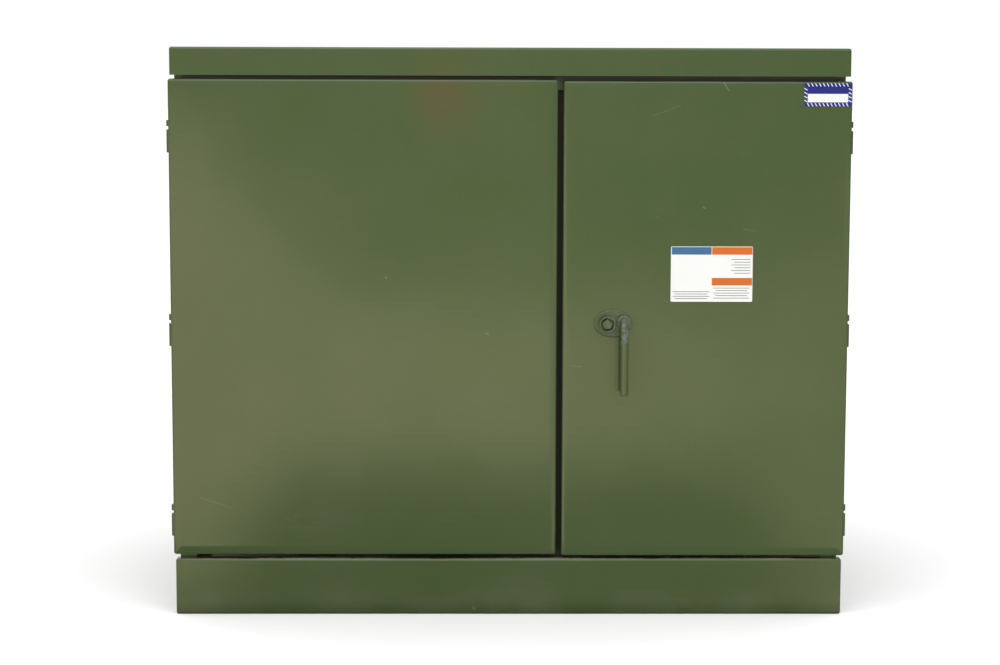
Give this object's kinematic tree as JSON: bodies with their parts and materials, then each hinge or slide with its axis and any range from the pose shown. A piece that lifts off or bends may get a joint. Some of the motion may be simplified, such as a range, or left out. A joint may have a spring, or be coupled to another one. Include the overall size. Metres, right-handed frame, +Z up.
{
  "type": "pad-mounted power transformer",
  "caption": "Pad-mounted power transformer: a low steel cabinet with two hinged doors, a hood and a sill, in front of an oil tank with cooling panels.",
  "frame": {"origin": "middle of the overall footprint, on the ground", "axes": "+Z up, the doors face -Y, +X to the right for someone facing the doors"},
  "size_m": [1.855, 1.328, 1.547],
  "materials": {
    "green_enamel": "gloss olive-green enamel, lightly scratched",
    "black_enamel": "satin black",
    "galvanised_sheet": "dull grey zinc",
    "stainless": "brushed",
    "elbow_rubber": "moulded black rubber",
    "grey_resin": "moulded resin",
    "tinned_copper": "tinned, satin",
    "gauge_case": "black case with a pale dial",
    "yellow_enamel": "satin yellow",
    "valve_bronze": "cast bronze"
  },
  "bodies": {
    "cabinet": {"base_rails": "black_enamel", "tank": "green_enamel", "tank_cover": "green_enamel", "lifting_lugs": "green_enamel", "left_radiator": "green_enamel", "right_radiator": "green_enamel", "left_side_wall": "green_enamel", "right_side_wall": "green_enamel", "hood": "green_enamel", "header_rail": "green_enamel", "roof_upstand": "green_enamel", "sill": "green_enamel", "centre_barrier": "black_enamel", "left_hinge_posts": "green_enamel", "right_hinge_posts": "green_enamel", "hv_bushings": "elbow_rubber", "parking_stands": "galvanised_sheet", "fuse_holders": "grey_resin", "switch_handle": "yellow_enamel", "tap_changer": "yellow_enamel", "lv_bushings": "grey_resin", "lv_blades": "tinned_copper", "neutral_strap": "tinned_copper", "level_gauge": "gauge_case", "thermometer": "gauge_case", "pressure_gauge": "gauge_case", "relief_valve": "stainless", "drain_valve": "valve_bronze", "nameplate": "stainless", "ground_pads": "stainless", "hold_down_feet": "black_enamel"},
    "left_leaf": {"left_door": "green_enamel", "left_stiffeners": "green_enamel", "left_hinge_leaves": "green_enamel"},
    "right_leaf": {"right_door": "green_enamel", "right_stiffeners": "green_enamel", "right_hinge_leaves": "green_enamel", "escutcheon": "green_enamel", "lock_bolt": "green_enamel"},
    "handle_arm": {"handle": "green_enamel", "latch_cam": "galvanised_sheet"}
  },
  "joints": [
    {"name": "left_door_swing", "type": "hinge", "parent": "cabinet", "child": "left_leaf", "pos_m": [-0.918, -0.5665, 0.8], "axis": [0, 0, -1], "range_deg": [0, 120]},
    {"name": "right_door_swing", "type": "hinge", "parent": "cabinet", "child": "right_leaf", "pos_m": [0.918, -0.5665, 0.8], "axis": [0, 0, 1], "range_deg": [0, 120]},
    {"name": "handle_turn", "type": "hinge", "parent": "right_leaf", "child": "handle_arm", "pos_m": [0.308, -0.606, 0.811], "axis": [0, -1, 0], "range_deg": [0, 90]}
  ]
}
